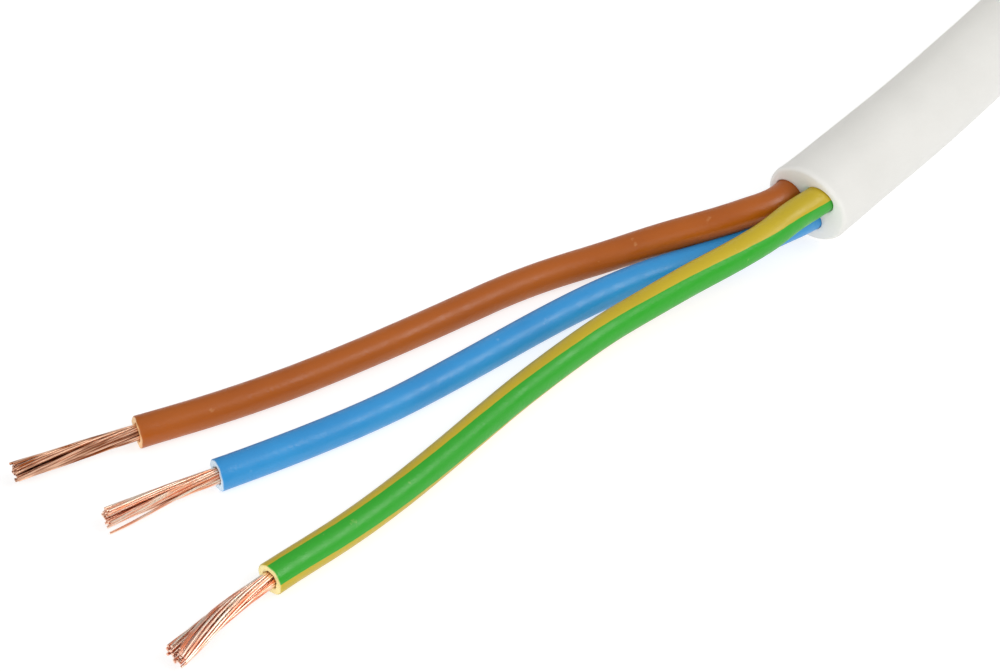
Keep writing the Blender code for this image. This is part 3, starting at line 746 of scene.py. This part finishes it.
def strands(name, curve, start, end, metal, flare, steps, seed, stray=None):
    """Thirty wires round a core's axis. A wire's axis is at its ring's radius, times 1 + flare share^1.5 past the cut,
    and at its own angle, plus one turn for each lay length. Past the cut the wires draw together in five clumps. Each
    is a tube of eight sides about its own axis. Where stray is given, the outer wire that ends nearest to its angle
    stands off by its distance in metres."""
    rng = np.random.default_rng(seed)
    many = sum(count for count, _ in STRAND_RINGS)
    ring_r = np.concatenate([np.full(count, radius) for count, radius in STRAND_RINGS]) * MM
    own_angle = np.concatenate(
        [(np.arange(count) + 0.5 * k) * 2 * math.pi / count for k, (count, _) in enumerate(STRAND_RINGS)]
    )
    own_angle = own_angle + rng.normal(0.0, PLACE_DIFFERS, many)
    cut_short = np.clip(rng.normal(*CUT_SHORT[:2], many), *CUT_SHORT[2:]) * MM
    share = np.linspace(0.0, 1.0, steps)[None, :]
    marks = start + share * (end - cut_short[:, None] - start)
    centre, way, side, upper = (x.reshape(many, steps, 3) for x in stations(curve, marks.reshape(-1)))
    out = np.clip((marks - start - STRAND_SEAT) / max(end - start - STRAND_SEAT, MM), 0.0, 1.0)
    clumps = (np.arange(CLUMPS) + rng.uniform(-CLUMPS_DIFFER, CLUMPS_DIFFER, CLUMPS)) * 2 * math.pi / CLUMPS
    toward = (clumps - own_angle[:, None] + math.pi) % (2 * math.pi) - math.pi
    clump = np.argmin(np.abs(toward), axis=1)
    pull = DRAWN_IN * toward[np.arange(many), clump]
    own_flare, own_lean = (
        rng.normal(0.0, of_clumps, CLUMPS)[clump] + rng.normal(0.0, of_strands, many)
        for of_clumps, of_strands in (FLARE_DIFFERS, LEAN_DIFFERS)
    )
    angle = own_angle[:, None] + 2 * math.pi * (marks - start) / LAY_LENGTH
    angle = angle + pull[:, None] * out + own_lean[:, None] * out**2
    radius = ring_r[:, None] * (1 + (flare + own_flare[:, None]) * out**FLARE_POWER)
    if stray is not None:
        outer = many - STRAND_RINGS[-1][0]
        off = (np.degrees(angle[outer:, -1]) - stray[0] + 180.0) % 360.0 - 180.0
        loose = outer + np.argmin(np.abs(off))
        radius[loose] += stray[1] * out[loose] ** FLARE_POWER
    axis = centre + radius[..., None] * (np.cos(angle)[..., None] * side + np.sin(angle)[..., None] * upper)
    axis[..., 2] = np.maximum(axis[..., 2], STRAND_R * 1.2)
    ahead = np.gradient(axis, axis=1)
    ahead /= np.linalg.norm(ahead, axis=-1)[..., None]
    wire_side = np.cross(ahead, [0.0, 0.0, 1.0])
    wire_side /= np.linalg.norm(wire_side, axis=-1)[..., None]
    wire_up = np.cross(wire_side, ahead)
    turn = round_angles(STRAND_SIDES)[:, None]
    across = np.cos(turn) * wire_side[:, :, None] + np.sin(turn) * wire_up[:, :, None]
    points = axis[:, :, None] + STRAND_R * across
    j = np.arange(STRAND_SIDES)
    here = (np.arange(many)[:, None, None] * steps + np.arange(steps - 1)[:, None]) * STRAND_SIDES
    first = np.arange(many)[:, None] * steps * STRAND_SIDES + j
    last = first[:, ::-1] + (steps - 1) * STRAND_SIDES
    faces = faces_between(here, here + STRAND_SIDES, STRAND_SIDES).tolist() + first.tolist() + last.tolist()
    mesh = bpy.data.meshes.new(name)
    mesh.from_pydata(points.reshape(-1, 3).tolist(), [], faces)
    u = (np.stack([j, j, j + 1, j + 1], -1) / STRAND_SIDES) + np.arange(many)[:, None, None, None]
    v = np.arange(steps - 1)[:, None, None] / steps + np.array([0, 1, 1, 0]) / steps
    tube_uv = np.stack(np.broadcast_arrays(u, v[None]), -1).reshape(-1, 2)
    wire_of_end = np.repeat(np.tile(np.arange(many), 2), STRAND_SIDES)
    write_uv(mesh, np.concatenate([tube_uv, np.stack([wire_of_end, np.zeros(len(wire_of_end))], -1)]))
    # Each strand's own shift towards its shade: a random tone and painted shade between the strands
    write_marks(mesh, "strand_tone_and_painted_shade", np.repeat(rng.uniform(*TONE_AND_PAINTED_SHADE_DIFFER, many), steps * STRAND_SIDES))
    mesh.shade_smooth()
    mesh.set_sharp_from_angle(angle=math.radians(60.0))
    mesh.materials.append(metal)
    wires = put_in_scene(name, mesh)
    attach(wires, "root")
    return wires


# Each copper's tone, shade and roughness: the dark shades, darkest on the brown core, are painted shade between the
# strands, and the pale tones hold painted highlight streaks.
copper_tones = {
    "brown": bright_copper("copper_of_brown", (1.0, 0.62, 0.43), (0.28, 0.07, 0.015), 0.27),
    "blue": bright_copper("copper_of_blue", (1.0, 0.82, 0.67), (0.95, 0.36, 0.19), 0.24),
    "earth": bright_copper("copper_of_earth", (1.0, 0.84, 0.70), (0.86, 0.29, 0.155), 0.24),
}
FLARES = {"brown": 0.3, "blue": 0.34, "earth": 0.68}
# The strand that stands off the rest: its angle in degrees, and how far
STRAYS = {"blue": (228.0, 0.6 * MM)}
WIRE_STEPS = 34
for seed, (name, curve) in enumerate(core_curves.items()):
    start, total = core_ends[name] - STRAND_SEAT, lengths_along(curve)[-1]
    metal, flare, stray = copper_tones[name], FLARES[name], STRAYS.get(name)
    wires = strands("copper_in_" + name, curve, start, total, metal, flare, WIRE_STEPS, seed + 11, stray)
    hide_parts(*(f"strands_{name}_{layer}" for layer in ("inner", "middle", "outer")))
    run = stations(curve, np.linspace(0.0, core_ends[name], 60))[0]
    leaves = stations(curve, np.array([CORE_SEAT]))[0][0]

# The ties: three natural nylon cable ties hold the wound ring, and it lies on them. Each is a strap drawn tight round
# the section, with fine teeth along its middle, a head on top with its pawl's window, and the trimmed end of its tail.
TIE_DEGREES = {"tie_right": 30.0, "tie_left": 150.0, "tie_front": 270.0}
# In millimetres, the head and the stub as their length, width and height
TIE_WIDTH = 4.8
TIE_HEAD = (8.0, 6.6, 4.4)
TIE_STUB = (3.0, 4.8, 1.2)
TIE_JOIN = 0.3
WINDOW_DEPTH = 1.1
WINDOW_REACH = (0.30, 0.28)
WINDOW_EDGE = 0.4
TOOTH_PITCH = 1.12
TOOTH_DEPTH = 0.14
TEETH_WIDTH = 3.0
# The powers that square off each round: the strap's section across and through it, the head, and the stub
ACROSS_STRAP, THROUGH_STRAP, HEAD_SQUARED, STUB_SQUARED = 0.3, 0.45, 0.22, 0.16
AROUND_STRAP = 32
AROUND_BLOCK = 64


def ring_row(row):
    """Radii of a row's first and last turn, and the row's height."""
    reach = (TURNS_PER_ROW[row] - 1) / 2 * PITCH
    return COIL_R - reach, COIL_R + reach, BOTTOM_ROW + row * ROW_RISE


def strap_line():
    """The middle of the strap's thickness round the ring's section: a line drawn tight round the six corner turns, at
    an even distance from them. Each point has its place and its way out, in radius and height."""
    outside = [(far, height) for _, far, height in (ring_row(row) for row in (6, 4, 0))]
    inside = [(near, height) for near, _, height in (ring_row(row) for row in (0, 4, 6))]
    corners = np.array(outside + inside)
    run = np.roll(corners, -1, axis=0) - corners
    leaves = np.arctan2(run[:, 1], run[:, 0]) + math.pi / 2
    arrives = np.roll(leaves, 1)
    sweep = (arrives - leaves) % (2 * math.pi)
    angle = arrives[:, None] - sweep[:, None] * np.linspace(0.0, 1.0, 9)
    out = np.stack([np.cos(angle), np.sin(angle)], -1)
    reach = SHEATH_R / MM + TIE_GAP + TIE_THICKNESS / 2
    bends = corners[:, None] + reach * out
    to_next = np.roll(bends[:, :1], -1, axis=0) - bends[:, -1:]
    straight = bends[:, -1:] + to_next * np.linspace(0.0, 1.0, 26)[1:-1, None]
    line = np.concatenate([bends, straight], axis=1).reshape(-1, 2)
    ways = np.concatenate([out, np.broadcast_to(out[:, -1:], straight.shape)], axis=1).reshape(-1, 2)
    return line, ways


def around_ring(points, degrees):
    """Points in radius, across and height, in millimetres, set at this angle round the ring."""
    turn = math.radians(degrees)
    x = points[..., 0] * math.cos(turn) - points[..., 1] * math.sin(turn)
    y = points[..., 0] * math.sin(turn) + points[..., 1] * math.cos(turn)
    return RING_CENTRE + np.stack([x, y, points[..., 2]], axis=-1) * MM


def nylon(name):
    """Natural nylon: milky, a little yellow, satin, with the faint cloud of a moulded part."""
    milky, tree, surface = new_material(name)
    cloud = noise(tree, tree.nodes.new("ShaderNodeTexCoord").outputs["Object"], 240.0, 2.0)
    tree.links.new(blend(tree, cloud, (0.80, 0.79, 0.72), (0.70, 0.69, 0.61)), surface.inputs["Base Color"])
    tree.links.new(ranged(tree, cloud, 0.0, 1.0, 0.34, 0.5), surface.inputs["Roughness"])
    return milky


def closed_grid(points, wraps):
    """Faces of a grid of points that wraps on itself in its second way, and also in its first where wraps is true."""
    rows, around = points.shape[:2]
    row = np.arange(rows if wraps else rows - 1)[:, None]
    return faces_between(row * around, ((row + 1) % rows) * around, around)


def squared(value, power):
    """A sine or cosine raised to a power under one, its sign kept, which squares off a round."""
    return np.sign(value) * np.abs(value) ** power


def rounded_block(size, power, place, dent=0.0):
    """A moulded block as a superellipsoid: each sine and cosine of the two angles is squared off by the power. Its
    upper side is pressed in by dent over its middle."""
    lat = np.linspace(-math.pi / 2, math.pi / 2, 41)[1:-1, None]
    lon = round_angles(AROUND_BLOCK) + math.pi / AROUND_BLOCK
    x = size[0] / 2 * squared(np.cos(lat), power) * squared(np.cos(lon), power)
    y = size[1] / 2 * squared(np.cos(lat), power) * squared(np.sin(lon), power)
    z = size[2] / 2 * squared(np.sin(lat), power) + 0 * lon
    window_x = np.clip((WINDOW_REACH[0] * size[0] - np.abs(x)) / WINDOW_EDGE, 0, 1)
    window_y = np.clip((WINDOW_REACH[1] * size[1] - np.abs(y)) / WINDOW_EDGE, 0, 1)
    z = z - dent * (window_x * window_y) * (z > 0.3 * size[2])
    return np.stack([x, y, z], -1) + np.array(place)


natural_nylon = nylon("natural_nylon")
strap_middle, strap_out = strap_line()
section_at = round_angles(AROUND_STRAP) + math.pi / AROUND_STRAP
section_y = TIE_WIDTH / 2 * squared(np.cos(section_at), ACROSS_STRAP)
section_t = TIE_THICKNESS / 2 * squared(np.sin(section_at), THROUGH_STRAP)
strap_run = lengths_along(strap_middle)
fine_run = np.arange(0.0, strap_run[-1], TOOTH_PITCH / 4)
loop_middle, loop_out = (
    np.stack([np.interp(fine_run, strap_run, line[:, k]) for k in range(2)], -1) for line in (strap_middle, strap_out)
)
toothed = (np.abs(section_y) < TEETH_WIDTH / 2) * (section_t > 0)
lift_out = section_t + TOOTH_DEPTH * ((fine_run / TOOTH_PITCH) % 1.0 - 1.0)[:, None] * toothed
strap_points = np.stack(
    [
        loop_middle[:, 0:1] + loop_out[:, 0:1] * lift_out,
        np.broadcast_to(section_y, lift_out.shape),
        loop_middle[:, 1:2] + loop_out[:, 1:2] * lift_out,
    ],
    axis=-1,
)
tie_top = ring_row(6)[2] + SHEATH_R / MM + TIE_GAP + TIE_THICKNESS
head_place = (COIL_R, 0.0, tie_top + TIE_HEAD[2] / 2 - TIE_JOIN)
stub_place = (COIL_R - TIE_HEAD[0] / 2 - TIE_STUB[0] / 2 + TIE_JOIN, 0.0, tie_top + TIE_HEAD[2] / 2)
head_points = rounded_block(TIE_HEAD, HEAD_SQUARED, head_place, dent=WINDOW_DEPTH)
stub_points = rounded_block((TIE_STUB[0] + 2 * TIE_JOIN, TIE_STUB[1], TIE_STUB[2]), STUB_SQUARED, stub_place)
for name, degrees in TIE_DEGREES.items():
    parts, faces, first = [], [], 0
    for points, wraps in ((strap_points, True), (head_points, False), (stub_points, False)):
        parts.append(around_ring(points, degrees).reshape(-1, 3))
        faces += (closed_grid(points, wraps) + first).tolist()
        if not wraps:
            pole = np.arange(AROUND_BLOCK)
            faces.append((first + pole).tolist())
            faces.append((first + len(parts[-1]) - AROUND_BLOCK + pole[::-1]).tolist())
        first += len(parts[-1])
    mesh = bpy.data.meshes.new("nylon_" + name)
    mesh.from_pydata(np.concatenate(parts).tolist(), [], faces)
    mesh.shade_smooth()
    mesh.set_sharp_from_angle(angle=math.radians(40.0))
    mesh.materials.append(natural_nylon)
    tie = put_in_scene("nylon_" + name, mesh)
    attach(tie, "root")
    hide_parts(name)

# The far end: the cable's other end was cut square with side cutters. It shows the three cores in the sheath, and the
# copper in each.
STUB_STARTS = 2.4 * MM
STUB_STANDS_OUT = 0.05 * MM
# Each ring of a stub: its radius as a share of the core's, and how pale the cut has left it
STUB_SHARES = np.array([1, 1, 1, 0.94, 0.6, 0.57, 0.57])
STUB_PALE = np.array([0, 0, 0, 0.6, 1, 0.8, 0.3])
AROUND_STUB = 32
centre, way, side, upper = (x[0] for x in stations(cable_curve, np.array([CABLE_LENGTH])))
far_pieces = []
for name, (finish, slot, _) in CORE_FINISH.items():
    level, rise = CORE_PLACES[name]
    axis = centre + (level * side + rise * upper) * MM
    stub = axis - np.linspace(STUB_STARTS, -STUB_STANDS_OUT, 12)[:, None] * way
    length = lengths_along(stub)[-1]
    marks = np.array([0.0, 1.2 * MM, length - 0.1 * MM, length, length, length - 0.2 * MM, length - 1.0 * MM])
    rings = np.repeat(STUB_SHARES[:, None] * CORE_R, AROUND_STUB, axis=1)
    band = hoops(stations(stub, marks), rings, round_angles(AROUND_STUB))
    core_stub = skin("cut_core_" + name, [band], finish, marks * 0)
    write_marks(core_stub.data, "cut", np.repeat(STUB_PALE, AROUND_STUB))
    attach(core_stub, "root")
    copper_stub = strands("cut_copper_" + name, stub, 0.4 * MM, length + 0.1 * MM, copper_tones[name], 0.0, 3, 31)
    far_pieces += [core_stub, copper_stub]

stations(cable_curve, np.linspace(0.0, CABLE_LENGTH, 2001))[0]
